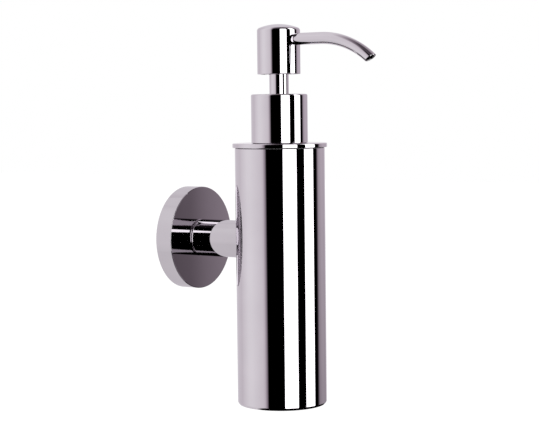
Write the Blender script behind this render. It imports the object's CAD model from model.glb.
# %% [markdown]
# # A wall-mounted soap dispenser in polished chrome
#
# This lesson dresses a finished mechanical model. The frame that is loaded here already holds every
# part at its real size, in metres, with the wall at y = 0 and the dispenser standing out towards
# -Y. Blender gives the parts smooth turned surfaces, finishes, a small studio and a camera.

# %% Load the frame
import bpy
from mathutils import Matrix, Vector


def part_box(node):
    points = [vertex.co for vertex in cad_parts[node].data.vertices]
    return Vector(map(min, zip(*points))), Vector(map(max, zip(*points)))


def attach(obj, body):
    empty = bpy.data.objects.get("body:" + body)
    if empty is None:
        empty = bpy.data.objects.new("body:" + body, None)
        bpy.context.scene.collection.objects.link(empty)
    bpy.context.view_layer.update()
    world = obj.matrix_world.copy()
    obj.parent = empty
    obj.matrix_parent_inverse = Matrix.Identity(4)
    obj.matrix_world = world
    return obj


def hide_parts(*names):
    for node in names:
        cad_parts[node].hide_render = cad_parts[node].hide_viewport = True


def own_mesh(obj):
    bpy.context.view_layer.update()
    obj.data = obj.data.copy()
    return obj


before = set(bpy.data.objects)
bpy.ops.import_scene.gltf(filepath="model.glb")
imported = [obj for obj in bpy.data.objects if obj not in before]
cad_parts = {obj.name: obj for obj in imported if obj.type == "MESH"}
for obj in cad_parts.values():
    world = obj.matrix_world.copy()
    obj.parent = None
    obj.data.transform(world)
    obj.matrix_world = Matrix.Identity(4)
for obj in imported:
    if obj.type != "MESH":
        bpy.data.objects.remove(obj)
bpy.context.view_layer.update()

print("parts in the frame:", len(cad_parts))

# %% [markdown]
# ## Tools
#
# Blender measures in metres and a maker thinks in millimetres, so MM turns one into the other. The
# Standard view transform shows a colour as it is written.

# %% Tools from Blender and Python
import math

import bmesh
import bpy
from mathutils import Matrix, Vector

MM = 0.001
scene = bpy.context.scene
scene.view_settings.view_transform = "Standard"
print("view transform:", scene.view_settings.view_transform)

# %% [markdown]
# ## Where things are
#
# Nearly every part of a dispenser is turned on a lathe, about one of two axes: the upright axis of
# the bottle, or the axis of the arm, which points straight out of the wall. Both are read from the
# frame, so the visible pieces land exactly on the parts that they stand for.

# %% Measure the two axes
sleeve_low, sleeve_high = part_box("sleeve")
bottle_axis = Vector((0, (sleeve_low[1] + sleeve_high[1]) / 2, 0))
upright = Vector((0, 0, 0))
arm_axis = Vector((0, 0, 0))
out_of_wall = Vector((math.radians(90), 0, 0))
print("bottle axis is", round(-bottle_axis.y / MM, 2), "mm from the wall")


def millimetres(node):
    """Lowest corner, highest corner and half the width of a part, in millimetres."""
    low, high = (Vector(corner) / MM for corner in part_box(node))
    return low, high, (high.x - low.x) / 2


# %% [markdown]
# ## Nodes
#
# Finishes and shapes below are both node trees. A helper keeps them short: it adds one node, and
# every input gets either a link from another node or a plain value. A blank in a socket's name is
# written as an underscore.

# %% Add a node
def fill(tree, socket, value):
    """Links a socket to another node's output, or sets its plain value."""
    if isinstance(value, bpy.types.NodeSocket):
        tree.links.new(value, socket)
    else:
        socket.default_value = value


def add_node(tree, kind, output, settings=None, **inputs):
    """Adds a node with its settings and inputs. Returns one of its output sockets."""
    made = tree.nodes.new(kind)
    for setting, value in (settings or {}).items():
        setattr(made, setting, value)
    for label, value in inputs.items():
        fill(tree, made.inputs[label.replace("_", " ")], value)
    return made.outputs[output]


# %% [markdown]
# ## Finishes
#
# A finish is a node tree, not one colour. Each one below reads Object coordinates, so the pattern
# stays put when a part moves, and lets a little noise disturb the colour, the roughness and the
# surface. A value that is the same everywhere is typed straight into the shader's own socket.

# %% Start a finish
def new_finish(name, **sockets):
    """A material with a Principled shader. Returns the material, its tree and the shader."""
    finish = bpy.data.materials.new(name)
    finish.use_nodes = True
    shader = finish.node_tree.nodes["Principled BSDF"]
    for socket, value in sockets.items():
        shader.inputs[socket.replace("_", " ")].default_value = value
    return finish, finish.node_tree, shader


# %% Let noise vary it
NOISE_LOW, NOISE_HIGH = 0.3, 0.7


def noise(tree, patches, detail=2.0, stretch=(1, 1, 1)):
    """Noise on Object coordinates, with so many patches to a metre. Returns its output socket."""
    place = add_node(tree, "ShaderNodeTexCoord", "Object")
    stretched = add_node(tree, "ShaderNodeMapping", "Vector", Vector=place, Scale=stretch)
    return add_node(tree, "ShaderNodeTexNoise", "Fac", Vector=stretched, Scale=patches,
                    Detail=detail)


def vary_value(tree, pattern, socket, low, high):
    """The pattern moves a number socket between two values."""
    value = add_node(tree, "ShaderNodeMapRange", "Result", Value=pattern, From_Min=NOISE_LOW,
                     From_Max=NOISE_HIGH, To_Min=low, To_Max=high)
    tree.links.new(value, socket)


def vary_colour(tree, pattern, socket, first, second):
    """The pattern moves a colour socket between two colours."""
    ramp = tree.nodes.new("ShaderNodeValToRGB")
    ends = zip(ramp.color_ramp.elements, (NOISE_LOW, NOISE_HIGH), (first, second))
    for end, position, colour in ends:
        end.position = position
        end.color = (*colour, 1)
    tree.links.new(pattern, ramp.inputs["Fac"])
    tree.links.new(ramp.outputs["Color"], socket)


def roughen(tree, pattern, shader, strength, depth):
    """The pattern lifts the surface by up to depth metres."""
    normal = add_node(tree, "ShaderNodeBump", "Normal", Height=pattern, Strength=strength,
                      Distance=depth)
    tree.links.new(normal, shader.inputs["Normal"])


print("noise counts from", NOISE_LOW, "to", NOISE_HIGH)

# %% [markdown]
# ### Polished chrome
#
# Chrome plate returns about seven tenths of the light, with a faint cool tint. Its polish is what
# the eye reads, so the roughness is tiny and only drifts a little, as it does where a buffing wheel
# passed. The arm and the rosette look a shade darker than the tubes, as pieces that were plated
# apart can do, so they get tones of their own.

# %% Polished chrome
def polished_chrome(name, dull, bright):
    """Mirror chrome whose colour drifts between a dull and a bright tone."""
    finish, tree, shader = new_finish(name, Metallic=1.0, Specular_Tint=(0.86, 0.85, 0.87, 1))
    vary_colour(tree, noise(tree, 60), shader.inputs["Base Color"], dull, bright)
    vary_value(tree, noise(tree, 700, detail=4), shader.inputs["Roughness"], 0.012, 0.035)
    roughen(tree, noise(tree, 45, detail=1), shader, strength=0.02, depth=0.2 * MM)
    return finish


chrome = polished_chrome("polished_chrome", (0.7, 0.672, 0.704), (0.73, 0.701, 0.734))
arm_chrome = polished_chrome("polished_arm", (0.616, 0.591, 0.62), (0.642, 0.617, 0.646))
print("finishes:", chrome.name, arm_chrome.name)

# %% [markdown]
# ### Metals that are not polished
#
# The wall plate is cast zinc, dull and slightly pitted. The screws and the spring are bright steel
# with fine lines from drawing and turning, so their noise is stretched along one direction.

# %% Cast zinc and bright steel
def cast_zinc():
    """Dull cast metal with fine pits."""
    finish, tree, shader = new_finish("cast_zinc", Metallic=0.9)
    base = shader.inputs["Base Color"]
    vary_colour(tree, noise(tree, 180), base, (0.42, 0.43, 0.45), (0.5, 0.51, 0.53))
    vary_value(tree, noise(tree, 900, detail=5), shader.inputs["Roughness"], 0.42, 0.6)
    roughen(tree, noise(tree, 1600, detail=6), shader, strength=0.35, depth=0.1 * MM)
    return finish


def bright_steel():
    """Bright metal with fine lines along Z."""
    finish, tree, shader = new_finish("bright_steel", Metallic=1.0)
    lines = noise(tree, 1500, detail=3, stretch=(1, 1, 0.06))
    vary_colour(tree, lines, shader.inputs["Base Color"], (0.48, 0.48, 0.5), (0.58, 0.58, 0.6))
    vary_value(tree, lines, shader.inputs["Roughness"], 0.2, 0.36)
    roughen(tree, lines, shader, strength=0.15, depth=0.03 * MM)
    return finish


zinc = cast_zinc()
steel = bright_steel()
print("finishes:", zinc.name, steel.name)

# %% [markdown]
# ### Plastics and rubber
#
# The bottle is milky polyethylene, which lets light sink in before it comes back, so it gets some
# subsurface scattering and a cloudy, upright noise like the flow marks of a blown bottle. The pump
# is white moulded polypropylene, glossier and whiter. The seals are soft black rubber.

# %% Milky bottle plastic
def milky_polyethylene():
    """Soft milky plastic with upright flow marks."""
    finish, tree, shader = new_finish("milky_polyethylene", Subsurface_Weight=0.35,
                                      Subsurface_Scale=2 * MM)
    flow = noise(tree, 120, detail=4, stretch=(1, 1, 0.15))
    vary_colour(tree, flow, shader.inputs["Base Color"], (0.72, 0.75, 0.78), (0.8, 0.82, 0.84))
    vary_value(tree, noise(tree, 600, detail=3), shader.inputs["Roughness"], 0.34, 0.5)
    roughen(tree, flow, shader, strength=0.12, depth=0.1 * MM)
    return finish


milky = milky_polyethylene()
print("finish:", milky.name)


# %% White pump plastic and soft rubber
def white_polypropylene():
    """White moulded plastic with a fine grain."""
    finish, tree, shader = new_finish("white_polypropylene", Subsurface_Weight=0.12,
                                      Subsurface_Scale=1 * MM)
    base = shader.inputs["Base Color"]
    vary_colour(tree, noise(tree, 250), base, (0.76, 0.76, 0.74), (0.82, 0.82, 0.8))
    vary_value(tree, noise(tree, 1200, detail=4), shader.inputs["Roughness"], 0.22, 0.36)
    roughen(tree, noise(tree, 2200, detail=3), shader, strength=0.08, depth=0.04 * MM)
    return finish


def soft_rubber():
    """Matt dark rubber with one grain for colour, roughness and surface."""
    finish, tree, shader = new_finish("soft_rubber")
    grain = noise(tree, 2600, detail=5)
    base = shader.inputs["Base Color"]
    vary_colour(tree, grain, base, (0.13, 0.13, 0.135), (0.18, 0.18, 0.185))
    vary_value(tree, grain, shader.inputs["Roughness"], 0.6, 0.78)
    roughen(tree, grain, shader, strength=0.3, depth=0.05 * MM)
    return finish


white = white_polypropylene()
rubber = soft_rubber()
print("finishes:", white.name, rubber.name)

# %% [markdown]
# ## Outlines
#
# A turned piece is its half section swung round an axis. The section is a list of corners, each
# with a radius, a height and a rounding in millimetres. Real edges are never perfectly sharp, and
# on a mirror finish the rounding is what draws the bright line along an edge. Just before and after
# each rounding there is one more point, so that the flat faces beside it stay flat when shaded.

# %% Round a corner
ARC_STEPS = 7
EDGE_GUARD = 0.03


def rounded_corner(before, corner, after, rounding):
    """Points that replace a corner by an arc, with a guard point on either side."""
    to_before = (before - corner).normalized()
    to_after = (after - corner).normalized()
    half = to_before.angle(to_after) / 2
    reach = rounding / math.tan(half)
    centre = corner + (to_before + to_after).normalized() * rounding / math.sin(half)
    first = corner + to_before * reach - centre
    last = corner + to_after * reach - centre
    sweep = math.pi - 2 * half
    arc = []
    for step in range(ARC_STEPS + 1):
        share = step / ARC_STEPS
        spoke = first * math.sin((1 - share) * sweep) + last * math.sin(share * sweep)
        arc.append(centre + spoke / math.sin(sweep))
    guard_before = corner + to_before * (reach + EDGE_GUARD)
    guard_after = corner + to_after * (reach + EDGE_GUARD)
    return [guard_before, *arc, guard_after]


print("a rounded corner becomes", ARC_STEPS + 3, "points")


# %% Half sections
def half_section(corners, closed):
    """Points of a half section. A closed one is a ring; an open one starts and ends on the axis."""
    places = [Vector(corner[:2]) for corner in corners]
    points = []
    for index, corner in enumerate(corners):
        rounding = corner[2] if len(corner) > 2 else 0
        if rounding:
            after = places[(index + 1) % len(places)]
            points += rounded_corner(places[index - 1], places[index], after, rounding)
        else:
            points.append(places[index])
    return points + points[:1] if closed else points


def split_long_steps(points, longest):
    """Adds points to a half section, so that no step is longer than the given length."""
    finer = [points[0]]
    for start, end in zip(points, points[1:]):
        pieces = max(1, math.ceil((end - start).length / longest))
        finer += [start.lerp(end, piece / pieces) for piece in range(1, pieces + 1)]
    return finer


# %% [markdown]
# ## Trees that make shapes
#
# Each tree below has named inputs for its sizes and one output. All end in the same way: instances
# become real faces, the finish is set, and the piece comes out.

# %% Start and end a tree
def start_tree(name, **inputs):
    """A tree with named inputs and one output. Returns the tree and its input sockets."""
    tree = bpy.data.node_groups.new(name, "GeometryNodeTree")
    for label, kind in inputs.items():
        tree.interface.new_socket(label.replace("_", " "), in_out="INPUT",
                                  socket_type="NodeSocket" + kind)
    tree.interface.new_socket("Piece", in_out="OUTPUT", socket_type="NodeSocketGeometry")
    return tree, tree.nodes.new("NodeGroupInput").outputs


def end_tree(tree, shape, finish):
    """Realizes instances, sets the finish and hands the piece out."""
    solid = add_node(tree, "GeometryNodeRealizeInstances", "Geometry", Geometry=shape)
    piece = add_node(tree, "GeometryNodeSetMaterial", "Geometry", Geometry=solid, Material=finish)
    tree.links.new(piece, tree.nodes.new("NodeGroupOutput").inputs["Piece"])
    print(tree.name, "tree with", len(tree.nodes), "nodes")
    return tree


# %% Reckon inside a tree
def maths(tree, operation, *values):
    """Adds a Math node that works on sockets or numbers. Returns its output socket."""
    made = tree.nodes.new("ShaderNodeMath")
    made.operation = operation
    for socket, value in zip(made.inputs, values):
        fill(tree, socket, value)
    return made.outputs[0]


def split_vector(tree, vector):
    """The X, Y and Z sockets of a vector."""
    split = tree.nodes.new("ShaderNodeSeparateXYZ")
    tree.links.new(vector, split.inputs["Vector"])
    return split.outputs["X"], split.outputs["Y"], split.outputs["Z"]


# %% [markdown]
# ## The lathe
#
# Screw and Spin could turn a section too. Here Geometry Nodes do it, because one tree then serves
# every turned piece and its sizes stay visible as inputs. A grid has one column for each step round
# the axis and one row for each point of the section. Each grid point looks up its section point and
# is swung round to its own angle. Merging the doubles closes the seam and the poles.

# %% Build the lathe tree
DOUBLES = 1e-6


def lathe_tree():
    """Swings a half section round Z, closes it, and then turns and places the piece."""
    tree, sizes = start_tree("lathe", Section="Geometry", Steps="Int", Turn="Vector",
                             Place="Vector", Finish="Material")
    rows = add_node(tree, "GeometryNodeAttributeDomainSize", "Point Count",
                    Geometry=sizes["Section"])
    columns = maths(tree, "ADD", sizes["Steps"], 1)
    grid = add_node(tree, "GeometryNodeMeshGrid", "Mesh", Vertices_X=columns, Vertices_Y=rows)

    number = add_node(tree, "GeometryNodeInputIndex", "Index")
    column = maths(tree, "FLOOR", maths(tree, "DIVIDE", maths(tree, "ADD", number, 0.5), rows))
    row = maths(tree, "SUBTRACT", number, maths(tree, "MULTIPLY", column, rows))
    angle = maths(tree, "DIVIDE", maths(tree, "MULTIPLY", column, 2 * math.pi), sizes["Steps"])
    section_place = add_node(tree, "GeometryNodeInputPosition", "Position")
    point = add_node(tree, "GeometryNodeSampleIndex", "Value",
                     settings={"data_type": "FLOAT_VECTOR"},
                     Geometry=sizes["Section"], Value=section_place, Index=row)
    radius, _, height = split_vector(tree, point)
    swung = add_node(tree, "ShaderNodeCombineXYZ", "Vector",
                     X=maths(tree, "MULTIPLY", radius, maths(tree, "COSINE", angle)),
                     Y=maths(tree, "MULTIPLY", radius, maths(tree, "SINE", angle)), Z=height)

    moved = add_node(tree, "GeometryNodeSetPosition", "Geometry", Geometry=grid, Position=swung)
    closed = add_node(tree, "GeometryNodeMergeByDistance", "Geometry", Geometry=moved,
                      Distance=DOUBLES)
    placed = add_node(tree, "GeometryNodeTransform", "Geometry", Geometry=closed,
                      Rotation=sizes["Turn"], Translation=sizes["Place"])
    return end_tree(tree, placed, sizes["Finish"])


lathe = lathe_tree()

# %% [markdown]
# ## From node tree to plain mesh
#
# The modifier is only a way to work. When a piece is right, its result is taken as a plain mesh,
# the faces are turned outwards and shaded smooth, and edges that are sharper than a rounding stay
# crisp.

# %% Run a tree and keep its mesh
SHARP_EDGE = math.radians(38)


def face_outwards(mesh):
    """Turns all faces of a closed mesh outwards and shades it, with crisp sharp edges."""
    work = bmesh.new()
    work.from_mesh(mesh)
    bmesh.ops.recalc_face_normals(work, faces=work.faces)
    work.to_mesh(mesh)
    work.free()
    mesh.shade_smooth()
    mesh.set_sharp_from_angle(angle=SHARP_EDGE)


def run_tree(name, start_mesh, tree, **inputs):
    """Runs a tree on a start mesh. Returns the finished object, with nothing live left on it."""
    work = bpy.data.objects.new(name + ".work", start_mesh)
    scene.collection.objects.link(work)
    modifier = work.modifiers.new("tree", "NODES")
    modifier.node_group = tree
    for item in tree.interface.items_tree:
        label = item.name.replace(" ", "_")
        if item.item_type == "SOCKET" and item.in_out == "INPUT" and label in inputs:
            modifier[item.identifier] = inputs[label]
    result = work.evaluated_get(bpy.context.evaluated_depsgraph_get())
    mesh = bpy.data.meshes.new_from_object(result)
    bpy.data.objects.remove(work)
    mesh.name = name
    face_outwards(mesh)
    piece = bpy.data.objects.new(name, mesh)
    scene.collection.objects.link(piece)
    print(name, "has", len(mesh.polygons), "faces")
    return piece


# %% Turn a piece and put it to use
def turned(name, points, finish, steps=224, axis=bottle_axis, turn=upright):
    """A turned piece from the points of its half section, in millimetres."""
    section = bpy.data.meshes.new(name + ".section")
    section.from_pydata([(point.x * MM, 0, point.y * MM) for point in points], [], [])
    return run_tree(name, section, lathe, Steps=steps, Turn=turn, Place=axis, Finish=finish)


def stands_for(piece, node, body):
    """The piece takes a part's place, moves with its body and has its material slot."""
    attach(piece, body)
    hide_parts(node)


# %% [markdown]
# ## The sleeve and its base
#
# The sleeve is a plain drawn tube with a small bevel at the foot. Its long mirror side shows every
# fault, so the section has only two points between the ends, just above and below the place where
# the arm is bolted on; they lie on the straight line, so they bend no reflection, and they keep the
# ripples of the bolt's hole close to it. The base is a disc set a little way in.

# %% Sleeve and base
low, high, sleeve_r = millimetres("sleeve")
sleeve_wall = 1.2
sleeve_bore_r = sleeve_r - sleeve_wall
bevel_width, bevel_height = 0.7, 1.1
near_bolt = 4
sleeve = turned("sleeve_tube", half_section([
    (sleeve_bore_r, low.z, 0.1), (sleeve_r - bevel_width, low.z, 0.4),
    (sleeve_r, low.z + bevel_height, 1.0), (sleeve_r, -near_bolt), (sleeve_r, near_bolt),
    (sleeve_r, high.z, 0.2), (sleeve_bore_r, high.z, 0.2),
    (sleeve_bore_r, near_bolt), (sleeve_bore_r, -near_bolt),
], closed=True), chrome, steps=288)
stands_for(sleeve, "sleeve", "holder")

low, high, base_r = millimetres("sleeve_base")
base = turned("base_disc", half_section([
    (0, low.z), (base_r, low.z, 0.3), (base_r, high.z, 0.2), (0, high.z),
], closed=False), chrome)
stands_for(base, "sleeve_base", "holder")

# %% [markdown]
# ## The rim cover
#
# A thin ring closes the gap between bottle and sleeve. Its flange stands out past the sleeve and
# throws a fine line of reflections; the skirt below keeps the bottle upright in the sleeve.

# %% Rim cover
low, high, rim_r = millimetres("rim_cover")
rim_thickness = 2.2
rim_underside = high.z - rim_thickness
rim_hole_r = 12.1
skirt_gap, skirt_wall = 0.3, 1.2
skirt_r = sleeve_bore_r - skirt_gap
skirt_bore_r = skirt_r - skirt_wall
rim = turned("rim_ring", half_section([
    (rim_hole_r, rim_underside), (skirt_bore_r, rim_underside), (skirt_bore_r, low.z, 0.15),
    (skirt_r, low.z, 0.15), (skirt_r, rim_underside), (rim_r, rim_underside, 0.3),
    (rim_r, high.z, 0.5), (rim_hole_r, high.z, 0.2),
], closed=True), chrome, steps=288)
stands_for(rim, "rim_cover", "bottle")

# %% [markdown]
# ## The bottle
#
# The bottle is hidden until it is lifted out for a refill. It is a blown plastic bottle with a
# round foot, a round shoulder and a neck. One section runs from the middle of the foot up the
# outside, over the lip of the neck and down the inside again.

# %% Bottle
low, high, bottle_r = millimetres("bottle")
bottle_wall, bottle_rounding = 1.3, 4
inner_r, inner_rounding = bottle_r - bottle_wall, 2.7
neck_r, neck_bore_r = 11.8, 9.5
shoulder_gap = 0.1
shoulder = rim_underside - shoulder_gap
inner_shoulder, inner_foot = shoulder - bottle_wall, low.z + bottle_wall
bottle = turned("bottle_body", half_section([
    (0, low.z), (bottle_r, low.z, bottle_rounding), (bottle_r, shoulder, bottle_rounding),
    (neck_r, shoulder, 0.4), (neck_r, high.z, 0.3), (neck_bore_r, high.z, 0.3),
    (neck_bore_r, inner_shoulder, 0.3), (inner_r, inner_shoulder, inner_rounding),
    (inner_r, inner_foot, inner_rounding), (0, inner_foot),
], closed=False), milky)
stands_for(bottle, "bottle", "bottle")

# %% [markdown]
# ## The collar and the stem
#
# The collar is a pressed cup that hides the screw closure. The stem is a turned tube: below the
# collar it narrows to a spigot that carries the piston, and its top holds the upper valve ball.

# %% Collar
low, high, collar_r = millimetres("collar_shell")
collar_wall, collar_top = 0.8, 1.2
collar_bore_r = collar_r - collar_wall
collar_roof = high.z - collar_top
stem_hole_r = 5.25
collar = turned("collar_cup", half_section([
    (collar_bore_r, low.z, 0.15), (collar_r, low.z, 0.25), (collar_r, high.z, 0.8),
    (stem_hole_r, high.z, 0.25), (stem_hole_r, collar_roof), (collar_bore_r, collar_roof, 0.3),
], closed=True), chrome)
stands_for(collar, "collar_shell", "collar")

# %% Stem
low, high, stem_r = millimetres("stem")
stem_bore_r = 2.1
spigot_r, bead_r, bead_top = stem_r - 1.5, stem_r - 1.2, low.z + 0.6
stem_shoulder = low.z + 6.8
valve_room_r, valve_hole_r = 2.8, 1.4
valve_seat = high.z - 4.307
valve_foot = valve_seat - 2
stem = turned("pump_stem", half_section([
    (stem_bore_r, low.z), (bead_r, low.z, 0.2), (bead_r, bead_top, 0.1), (spigot_r, bead_top),
    (spigot_r, stem_shoulder), (stem_r, stem_shoulder, 0.2), (stem_r, high.z, 0.2),
    (valve_room_r, high.z), (valve_room_r, valve_seat), (valve_hole_r, valve_seat),
    (valve_hole_r, valve_foot), (stem_bore_r, valve_foot),
], closed=True), chrome, steps=128)
stands_for(stem, "stem", "head")

# %% [markdown]
# ## The head
#
# The head is a cup, upside down, with a low dome. The dome is part of a large sphere, and a small
# rounding leads from it into the side. The rounding's centre is found so that it touches both
# without a kink: it lies one rounding inside the side, and one rounding inside the sphere.

# %% The dome of the head
low, high, head_r = millimetres("head_shell")
head_foot, head_top = low.z, high.z
dome_rise, dome_rounding = 2.3, 1.7
dome_r = (head_r ** 2 + dome_rise ** 2) / (2 * dome_rise)
dome_centre = Vector((0, head_top - dome_r))
dome_steps = 16


def arc_points(centre, radius, first, last, steps):
    """Points along an arc between two angles, both ends included."""
    angles = [first + (last - first) * step / steps for step in range(steps + 1)]
    return [centre + radius * Vector((math.cos(angle), math.sin(angle))) for angle in angles]


def dome_section():
    """Points from the top of the head's side, round the edge and over the dome to the axis."""
    across = head_r - dome_rounding
    up = math.sqrt((dome_r - dome_rounding) ** 2 - across ** 2)
    edge_centre = dome_centre + Vector((across, up))
    meet = math.atan2(up, across)
    points = [Vector((head_r, edge_centre.y - EDGE_GUARD))]
    points += arc_points(edge_centre, dome_rounding, 0, meet, 2 * ARC_STEPS)
    points += arc_points(dome_centre, dome_r, meet, math.pi / 2, dome_steps)[1:-1]
    return points + [Vector((0, head_top))]


print("dome is part of a sphere of", round(dome_r, 1), "mm radius")

# %% Head cap
head_wall, head_roof = 1.2, head_top - 3.7
head_bore_r = head_r - head_wall
head_side = half_section([
    (0, head_roof), (head_bore_r, head_roof, 0.4), (head_bore_r, head_foot, 0.2),
    (head_r, head_foot, 0.3), (head_r, head_foot + 1),
], closed=False)
head = turned("head_cap", split_long_steps(head_side + dome_section(), 2.5), chrome)
stands_for(head, "head_shell", "head")

# %% [markdown]
# ## The spout
#
# The spout is a straight tube that is bent afterwards, as a tube bender does it. So it is first
# turned straight, with a rounded lip, and a second small tree then bends it: past the straight run,
# the length along the tube becomes an angle round the bend's centre, which lies below the tube. The
# tip is cut at a slant, so the angle also grows a little more above the tube's middle than below.

# %% Straight tube for the spout
spout_height = head_top - 7.9
spout_r, spout_bore_r = 3.0, 2.2
spout_start, spout_straight = 4.0, 25.5
bend_r, bend_angle, tip_slant = 43.5, math.radians(41), math.radians(15)
spout_end = spout_straight + bend_r * bend_angle
spout_section = half_section([
    (spout_bore_r, spout_start), (spout_r, spout_start),
    (spout_r, spout_end, 0.3), (spout_bore_r, spout_end, 0.3),
], closed=True)
spout_place = bottle_axis + Vector((0, 0, spout_height * MM))
straight_spout = turned("spout_tube", split_long_steps(spout_section, 0.8), chrome, steps=96,
                        axis=spout_place, turn=out_of_wall)


# %% A tube bender
def bend_tree():
    """Bends a tube that points along -Y downwards, past the place where the bend starts."""
    tree, sizes = start_tree("tube_bender", Tube="Geometry", Bend_Start="Vector",
                             Bend_Radius="Float", Bend_Angle="Float", Tip_Slope="Float",
                             Finish="Material")
    x, y, z = split_vector(tree, add_node(tree, "GeometryNodeInputPosition", "Position"))
    _, start_y, start_z = split_vector(tree, sizes["Bend Start"])
    past = maths(tree, "MAXIMUM", maths(tree, "SUBTRACT", start_y, y), 0.0)
    before = maths(tree, "MAXIMUM", y, start_y)
    above = maths(tree, "SUBTRACT", z, start_z)
    spoke = maths(tree, "ADD", sizes["Bend Radius"], above)

    level_angle = maths(tree, "DIVIDE", past, sizes["Bend Radius"])
    share = maths(tree, "DIVIDE", level_angle, sizes["Bend Angle"])
    slant = maths(tree, "DIVIDE", maths(tree, "MULTIPLY", above, sizes["Tip Slope"]), spoke)
    angle = maths(tree, "ADD", level_angle, maths(tree, "MULTIPLY", share, slant))

    forward = maths(tree, "MULTIPLY", spoke, maths(tree, "SINE", angle))
    upward = maths(tree, "MULTIPLY", spoke, maths(tree, "COSINE", angle))
    centre_z = maths(tree, "SUBTRACT", start_z, sizes["Bend Radius"])
    bent = add_node(tree, "ShaderNodeCombineXYZ", "Vector", X=x,
                    Y=maths(tree, "SUBTRACT", before, forward),
                    Z=maths(tree, "ADD", centre_z, upward))
    moved = add_node(tree, "GeometryNodeSetPosition", "Geometry", Geometry=sizes["Tube"],
                     Position=bent)
    return end_tree(tree, moved, sizes["Finish"])


# %% Bend the tube
straight_mesh = straight_spout.data
bpy.data.objects.remove(straight_spout)
bend_start = spout_place - Vector((0, spout_straight * MM, 0))
spout = run_tree("spout_tube", straight_mesh, bend_tree(), Bend_Start=bend_start,
                 Bend_Radius=bend_r * MM, Bend_Angle=bend_angle, Tip_Slope=math.tan(tip_slant),
                 Finish=chrome)
stands_for(spout, "spout", "head")
tip = min(vertex.co.y for vertex in spout.data.vertices)
print("spout reaches", round((bottle_axis.y - tip) / MM, 1), "mm from the bottle's axis")

# %% [markdown]
# ## The spout's hole in the head
#
# The tube sits in a hole through the head's side. A Boolean cut is the simplest way to make one
# hole in a turned shell; the extra rows in the head's section keep its ripples close to the hole.

# %% Cut a round hole
HOLE_GAP = 0.05


def drill(piece, start, end, radius, steps=64):
    """Cuts a round hole through a piece, from one point to another, in metres."""
    along = end - start
    work = bmesh.new()
    turn = along.to_track_quat("Z", "Y").to_matrix().to_4x4()
    place = Matrix.Translation((start + end) / 2) @ turn
    bmesh.ops.create_cone(work, cap_ends=True, segments=steps, radius1=radius, radius2=radius,
                          depth=along.length, matrix=place)
    drill_mesh = bpy.data.meshes.new("drill")
    work.to_mesh(drill_mesh)
    work.free()
    drill_bit = bpy.data.objects.new("drill", drill_mesh)
    scene.collection.objects.link(drill_bit)
    cut = piece.modifiers.new("hole", "BOOLEAN")
    cut.operation, cut.solver, cut.object = "DIFFERENCE", "EXACT", drill_bit
    result = piece.evaluated_get(bpy.context.evaluated_depsgraph_get())
    mesh = bpy.data.meshes.new_from_object(result)
    piece.modifiers.clear()
    piece.data = mesh
    bpy.data.objects.remove(drill_bit)
    mesh.set_sharp_from_angle(angle=SHARP_EDGE)
    print(piece.name, "with its hole has", len(mesh.polygons), "faces")


past_head = spout_place - Vector((0, 15 * MM, 0))
drill(head, spout_place, past_head, (spout_r + HOLE_GAP) * MM)

# %% [markdown]
# ## The rosette and the arm
#
# The rosette is a deep cover with a flat mirror face, turned about the arm's axis. A grub screw
# goes through a small hole in its lower side. The arm is a bar whose far end is hollowed to fit the
# sleeve: after turning, every point of that end slides along the bar until it lies on the sleeve's
# surface.

# %% Rosette
low, high, rosette_r = millimetres("rosette")
rosette_wall, rosette_face = 2, 3
rosette_depth = -low.y
rosette_bore_r = rosette_r - rosette_wall
rosette_back = rosette_depth - rosette_face
bolt_hole_r = 3.3
rosette = turned("rosette_cover", half_section([
    (rosette_bore_r, 0), (rosette_r, 0, 0.25), (rosette_r, rosette_depth, 0.3),
    (bolt_hole_r, rosette_depth, 0.2), (bolt_hole_r, rosette_back),
    (rosette_bore_r, rosette_back, 0.4),
], closed=True), arm_chrome, steps=256, axis=arm_axis, turn=out_of_wall)

screw_low, screw_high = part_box("rosette_grub_screw")
grub_y = (screw_low[1] + screw_high[1]) / 2
grub_hole_r = (screw_high[0] - screw_low[0]) / 2 + HOLE_GAP * MM
inside, outside = -22 * MM, -29 * MM
drill(rosette, Vector((0, grub_y, inside)), Vector((0, grub_y, outside)), grub_hole_r, steps=48)
stands_for(rosette, "rosette", "holder")

# %% Arm
low, high, arm_r = millimetres("arm")
arm_start = -high.y
arm_end = -bottle_axis.y / MM - sleeve_r
thread_r, thread_depth = 3.05, 10.05
saddle_rings = [(arm_r * share, arm_end) for share in (1, 0.88, 0.76, 0.64, 0.52, 0.4)]
arm = turned("arm_bar", half_section([
    (0, arm_start + thread_depth), (thread_r, arm_start + thread_depth), (thread_r, arm_start),
    (arm_r, arm_start, 1.2), *saddle_rings, (thread_r, arm_end),
    (thread_r, arm_end - thread_depth), (0, arm_end - thread_depth),
], closed=False), arm_chrome, steps=192, axis=arm_axis, turn=out_of_wall)

saddle_gap = 0.05
saddle_r = (sleeve_r + saddle_gap) * MM
end_plane = -(arm_end - 0.01) * MM
for vertex in arm.data.vertices:
    if vertex.co.y < end_plane:
        vertex.co.y = bottle_axis.y + math.sqrt(saddle_r ** 2 - vertex.co.x ** 2)
arm.data.set_sharp_from_angle(angle=SHARP_EDGE)
stands_for(arm, "arm", "holder")

# %% [markdown]
# ## Holes for the bolt and the pin
#
# A bolt goes through the sleeve's wall into the arm, and a pin beside the other bolt keeps the arm
# from turning in the rosette. Their holes are drilled in the same way as the spout's.

# %% Drill for the bolt and the pin
bolt_from = Vector((0, -(arm_end - 2) * MM, 0))
bolt_to = Vector((0, -(arm_end + 3) * MM, 0))
drill(sleeve, bolt_from, bolt_to, thread_r * MM)

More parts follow.
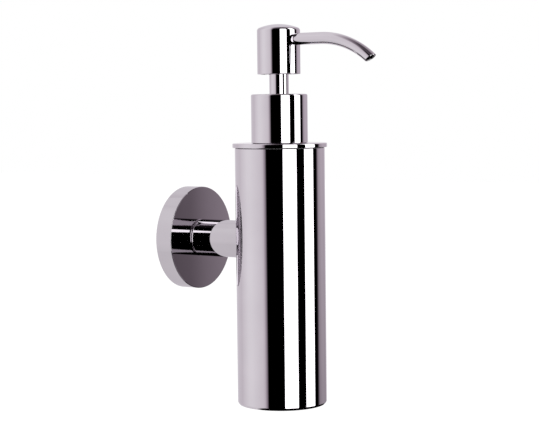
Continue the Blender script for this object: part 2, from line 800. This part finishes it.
pin_low, pin_high = (Vector(corner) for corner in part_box("arm_dowel"))
pin_middle = (pin_low + pin_high) / 2
pin_hole_r = (pin_high.x - pin_low.x) / 2 + HOLE_GAP * MM
pin_from = Vector((0, pin_high.y + 1 * MM, pin_middle.z))
pin_to = Vector((0, pin_low.y - HOLE_GAP * MM, pin_middle.z))
for drilled in (rosette, arm):
    drill(drilled, pin_from, pin_to, pin_hole_r, steps=32)

# %% [markdown]
# ## The return spring
#
# A coil follows a path, so it is a spiral curve with a round wire drawn along it. When the head is
# pressed the spring must shorten: it flattens towards its lower end as the pump goes down.

# %% Build the coil tree
TURN_STEPS, WIRE_STEPS = 40, 14


def coil_tree():
    """Draws a round wire along a spiral."""
    tree, sizes = start_tree("coil", Geometry="Geometry", Turns="Float", Radius="Float",
                             Height="Float", Wire_Radius="Float", Place="Vector",
                             Finish="Material")
    spiral = add_node(tree, "GeometryNodeCurveSpiral", "Curve", Resolution=TURN_STEPS,
                      Rotations=sizes["Turns"], Start_Radius=sizes["Radius"],
                      End_Radius=sizes["Radius"], Height=sizes["Height"])
    wire = add_node(tree, "GeometryNodeCurvePrimitiveCircle", "Curve", Resolution=WIRE_STEPS,
                    Radius=sizes["Wire Radius"])
    drawn = add_node(tree, "GeometryNodeCurveToMesh", "Mesh", Curve=spiral, Profile_Curve=wire,
                     Fill_Caps=True)
    placed = add_node(tree, "GeometryNodeTransform", "Geometry", Geometry=drawn,
                      Translation=sizes["Place"])
    return end_tree(tree, placed, sizes["Finish"])


coil = coil_tree()

# %% Spring
low, high, spring_r = millimetres("return_spring")
wire_r = 0.5
coil_r = spring_r - wire_r
coil_height = high.z - low.z - 2 * wire_r
coil_foot = bottle_axis + Vector((0, 0, (low.z + wire_r) * MM))
spring = run_tree("spring_coil", bpy.data.meshes.new("coil.start"), coil, Turns=7.0,
                  Radius=coil_r * MM, Height=coil_height * MM, Wire_Radius=wire_r * MM,
                  Place=coil_foot, Finish=steel)
stands_for(spring, "return_spring", "pump")
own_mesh(spring)

# %% [markdown]
# ## Finishes for the parts that keep their own shape
#
# The pump's inner parts, the seals and the fasteners already have the right shape in the frame, so
# they only get a finish.

# %% Paint the other parts
own_shapes = {
    zinc: ["wall_plate"],
    steel: ["rosette_grub_screw", "arm_wall_bolt", "arm_dowel", "arm_body_bolt", "saddle_washer",
            "inlet_ball", "outlet_ball"],
    rubber: ["rim_gasket", "neck_gasket", "piston_seal"],
    white: ["closure", "pump_housing", "stem_guide", "ball_retainer", "head_core"],
    milky: ["dip_tube"],
}
for finish, names in own_shapes.items():
    for name in names:
        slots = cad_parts[name].data.materials
        slots.clear()
        slots.append(finish)
    print(finish.name, "on", ", ".join(names))

# %% [markdown]
# ## The studio
#
# Polished metal has no look of its own: it shows the room. Product photographers stand black flags
# and white softboxes round it, and the edges between them become the long stripes on the tubes. The
# same is done here: the front of the room is dark with tall softboxes in it, and the back is white.
# Directions are given in degrees round the bottle, counted from straight in front of the wall.

# %% Softboxes
LAMP_R = 2.25
BRIGHTNESS = 2.3
UP = Vector((0, 0, 1))


def room_place(direction):
    """Unit vector from the bottle's axis towards a direction in degrees."""
    return Vector((math.sin(math.radians(direction)), -math.cos(math.radians(direction)), 0))


def softbox(name, first, last, bottom, top):
    """A rectangular lamp that covers a range of directions and heights, and faces the bottle."""
    facing = room_place((first + last) / 2)
    middle = bottle_axis + facing * LAMP_R
    middle.z = (bottom + top) / 2
    turn = Matrix((UP.cross(facing), UP, facing)).transposed()
    lamp = bpy.data.lights.new(name, "AREA")
    lamp.shape = "RECTANGLE"
    lamp.size = 2 * LAMP_R * math.tan(math.radians(last - first) / 2)
    lamp.size_y = top - bottom
    lamp.energy = BRIGHTNESS * math.pi * lamp.size * lamp.size_y
    thing = bpy.data.objects.new(name, lamp)
    scene.collection.objects.link(thing)
    thing.matrix_world = Matrix.Translation(middle) @ turn.to_4x4()
    thing.visible_camera = False
    print(name, "is", round(lamp.size, 2), "m wide and", round(lamp.size_y, 2), "m high")


softbox("softbox_left", first=-49, last=-13.9, bottom=-0.8, top=1.7)
softbox("softbox_right", first=8.2, last=36.8, bottom=-0.8, top=2.9)

# %% [markdown]
# Round the softboxes hang sheets of black, grey and white cloth. Each has a UV map: the first
# coordinate runs along the sheet, and a colour ramp turns it into a tone; the second runs up the
# sheet, and lets it grow darker towards the floor. Only mirrors see the sheets: they do not light
# the floor, throw a shadow or hide the dispenser from the camera.

# %% Cloth with tones
def cloth_colour(tone):
    """The room's cloth leans towards purple, and its dark tones do so most."""
    return tone, tone * (0.79 + 0.17 * tone), tone * (0.96 + 0.04 * tone), 1


def toned_cloth(name, tones, foot, head, fade_top):
    """A material that only shines, with tones along the sheet and a strength from foot to head."""
    finish = bpy.data.materials.new(name)
    finish.use_nodes = True
    tree = finish.node_tree
    tree.nodes.clear()
    along, up, _ = split_vector(tree, add_node(tree, "ShaderNodeUVMap", "UV"))
    ramp = tree.nodes.new("ShaderNodeValToRGB")
    tree.links.new(along, ramp.inputs["Fac"])
    stops = ramp.color_ramp.elements
    first, last = tones[0][0], tones[-1][0]
    stops[0].color = cloth_colour(tones[0][1])
    stops[1].color = cloth_colour(tones[-1][1])
    for where, tone in tones[1:-1]:
        stops.new((where - first) / (last - first)).color = cloth_colour(tone)
    strength = add_node(tree, "ShaderNodeMapRange", "Result", Value=up, From_Max=fade_top,
                        To_Min=foot, To_Max=head)
    shine = add_node(tree, "ShaderNodeEmission", "Emission", Color=ramp.outputs["Color"],
                     Strength=strength)
    tree.links.new(shine, tree.nodes.new("ShaderNodeOutputMaterial").inputs["Surface"])
    return finish


print("mid grey cloth:", [round(part, 3) for part in cloth_colour(0.5)])


# %% Hang a sheet
def hang(name, rails, tones, foot, head, fade_top):
    """A sheet between two rails of points. Its tones run from the first pair to the last."""
    spans = len(rails) - 1
    mesh = bpy.data.meshes.new(name)
    mesh.from_pydata([corner for pair in rails for corner in pair], [],
                     [(2 * i, 2 * i + 2, 2 * i + 3, 2 * i + 1) for i in range(spans)])
    place = mesh.uv_layers.new(name="along").data
    for loop in mesh.loops:
        place[loop.index].uv = (loop.vertex_index // 2 / spans, loop.vertex_index % 2)
    mesh.materials.append(toned_cloth(name, tones, foot, head, fade_top))
    sheet = bpy.data.objects.new(name, mesh)
    scene.collection.objects.link(sheet)
    sheet.visible_camera = sheet.visible_diffuse = sheet.visible_shadow = False
    print(name, "has", len(tones), "tones")


# %% [markdown]
# Two upright screens follow a ring round the bottle, and their tones are pairs of a direction and a
# brightness. The right-hand one fades more towards the floor.

# %% Upright screens
ROOM_R = 2.5
FLOOR_Z = -1.1
CEILING_Z = 3.0
SCREEN_STEPS = 144
FOOT_STRENGTH, FULL_STRENGTH = 0.79, 0.86


def screen(name, tones, foot, head, fade_top):
    """An upright sheet on the ring round the bottle, from floor to ceiling."""
    first, last = tones[0][0], tones[-1][0]
    rails = []
    for step in range(SCREEN_STEPS + 1):
        direction = first + (last - first) * step / SCREEN_STEPS
        place = bottle_axis + room_place(direction) * ROOM_R
        rails.append(((place.x, place.y, FLOOR_Z), (place.x, place.y, CEILING_Z)))
    hang(name, rails, tones, foot, head, fade_top)


screen("screen_back", [
    (105, 1.0), (146, 1.0), (157, 0.92), (180, 0.85), (188, 0.92), (210, 1.05), (222, 1.05),
    (238, 0.98), (254, 0.9), (259.5, 0.78), (262.2, 0.56), (265.2, 0.37), (268.4, 0), (409.3, 0),
], foot=FOOT_STRENGTH, head=FULL_STRENGTH, fade_top=0.17)
screen("screen_right", [
    (49.3, 0), (52.2, 0.13), (53.7, 0.175), (54.4, 0.265), (55.2, 0.325), (56.5, 0.4), (59, 0.45),
    (64, 0.5), (72, 0.57), (80, 0.58), (92, 0.56), (99, 0.64), (105, 0.78),
], foot=0.4, head=1.1, fade_top=0.293)

# %% [markdown]
# The level sheets are two ceiling cloths, dark above the front of the room, and a floor cloth,
# black in front and pale behind; their tones are pairs of a place along Y and a brightness.

# %% Level sheets
SHEET_GAP = 0.02


def level_sheet(name, tones, height, left=-4.0, right=4.0, strength=FULL_STRENGTH):
    """A level sheet across the room."""
    ends = tones[0][0], tones[-1][0]
    rails = [((left, where, height), (right, where, height)) for where in ends]
    hang(name, rails, tones, strength, strength, fade_top=1.0)


level_sheet("ceiling_cloth", [
    (-4, 0), (-2.25, 0.02), (-1.1, 0.1), (-0.23, 0.11), (0.25, 0.33), (0.7, 0.67), (1.1, 1.0),
    (4, 1.0),
], CEILING_Z)
level_sheet("ceiling_right", [
    (-4, 0.48), (0.2, 0.48), (0.8, 0.8), (1.1, 1.0), (4, 1.0),
], CEILING_Z - SHEET_GAP, left=0.5)
level_sheet("floor_cloth", [
    (-4, 0), (0.45, 0), (0.65, 1.0), (4, 1.0),
], FLOOR_Z + SHEET_GAP, strength=FOOT_STRENGTH)

# %% [markdown]
# ## Floor and background
#
# The background is plain white. What the camera, mirrors and clear things see of the world has a
# strength of 1, which is white on screen; what lights soft surfaces is lower, because the softboxes
# add to it. The floor does the same and still catches a shadow.

# %% World
SOFT_LIGHT = 0.36


def seen_directly(tree):
    """1 for camera, mirror and see-through rays, 0 for light that reaches a soft surface."""
    path = tree.nodes.new("ShaderNodeLightPath").outputs
    mirrored = maths(tree, "MAXIMUM", path["Is Camera Ray"], path["Is Glossy Ray"])
    return maths(tree, "MAXIMUM", mirrored, path["Is Transmission Ray"])


world = bpy.data.worlds.new("white_room")
scene.world = world
world.use_nodes = True
sky = world.node_tree.nodes["Background"]
sky.inputs["Color"].default_value = (1, 1, 1, 1)
level = add_node(world.node_tree, "ShaderNodeMapRange", "Result", To_Min=SOFT_LIGHT, To_Max=1.0,
                 Value=seen_directly(world.node_tree))
world.node_tree.links.new(level, sky.inputs["Strength"])
print("soft surfaces get", SOFT_LIGHT, "of the world's light")

# %% Floor
FLOOR_HALF = 20.0
FLOOR_LIFT = 0.75
floor = bpy.data.objects.new("floor", bpy.data.meshes.new("floor"))
scene.collection.objects.link(floor)
corners = [(-1, -1), (1, -1), (1, 1), (-1, 1)]
floor.data.from_pydata([(x * FLOOR_HALF, y * FLOOR_HALF, FLOOR_Z) for x, y in corners],
                       [], [(0, 1, 2, 3)])
paper, tree, shader = new_finish("white_paper", Base_Color=(0.8, 0.8, 0.8, 1), Roughness=0.9,
                                 Specular_IOR_Level=0.1, Emission_Color=(1, 1, 1, 1))
lift = maths(tree, "MULTIPLY", seen_directly(tree), FLOOR_LIFT)
tree.links.new(lift, shader.inputs["Emission Strength"])
floor.data.materials.append(paper)
print("floor at", FLOOR_Z, "m")

# %% [markdown]
# ## The camera
#
# The photograph was measured: its edges were matched to the sizes of the part, which gives the
# distance, the height and the small turns of the camera. A long lens keeps the tubes nearly
# parallel.

# %% Lens
IMAGE_WIDTH = 539
FOCAL_PIXELS = 1518.183
camera_data = bpy.data.cameras.new("camera")
camera_data.sensor_fit = "HORIZONTAL"
camera_data.sensor_width = 36
camera_data.lens = FOCAL_PIXELS / IMAGE_WIDTH * camera_data.sensor_width
camera_data.clip_start = 0.01
camera = bpy.data.objects.new("camera", camera_data)
scene.collection.objects.link(camera)
scene.camera = camera
print("lens of", round(camera_data.lens, 1), "mm")

# %% Stand and aim the camera
camera_direction = -56.246
camera_distance, camera_height = 776.8 * MM, 68.55 * MM
yaw, pitch, roll = math.radians(0.416), math.radians(4.132), math.radians(-0.649)
to_camera = room_place(camera_direction)
eye = bottle_axis + to_camera * camera_distance + UP * camera_height
level_view = Matrix.Rotation(yaw, 3, "Z") @ -to_camera
level_right = Vector((level_view.y, -level_view.x, 0))
view = level_view * math.cos(pitch) - UP * math.sin(pitch)
above = UP * math.cos(pitch) + level_view * math.sin(pitch)
right = level_right * math.cos(roll) + above * math.sin(roll)
above = above * math.cos(roll) - level_right * math.sin(roll)
aim = Matrix((right, above, -view)).transposed()
camera.matrix_world = Matrix.Translation(eye) @ aim.to_4x4()
print("camera stands", round(camera_distance, 3), "m from the bottle")
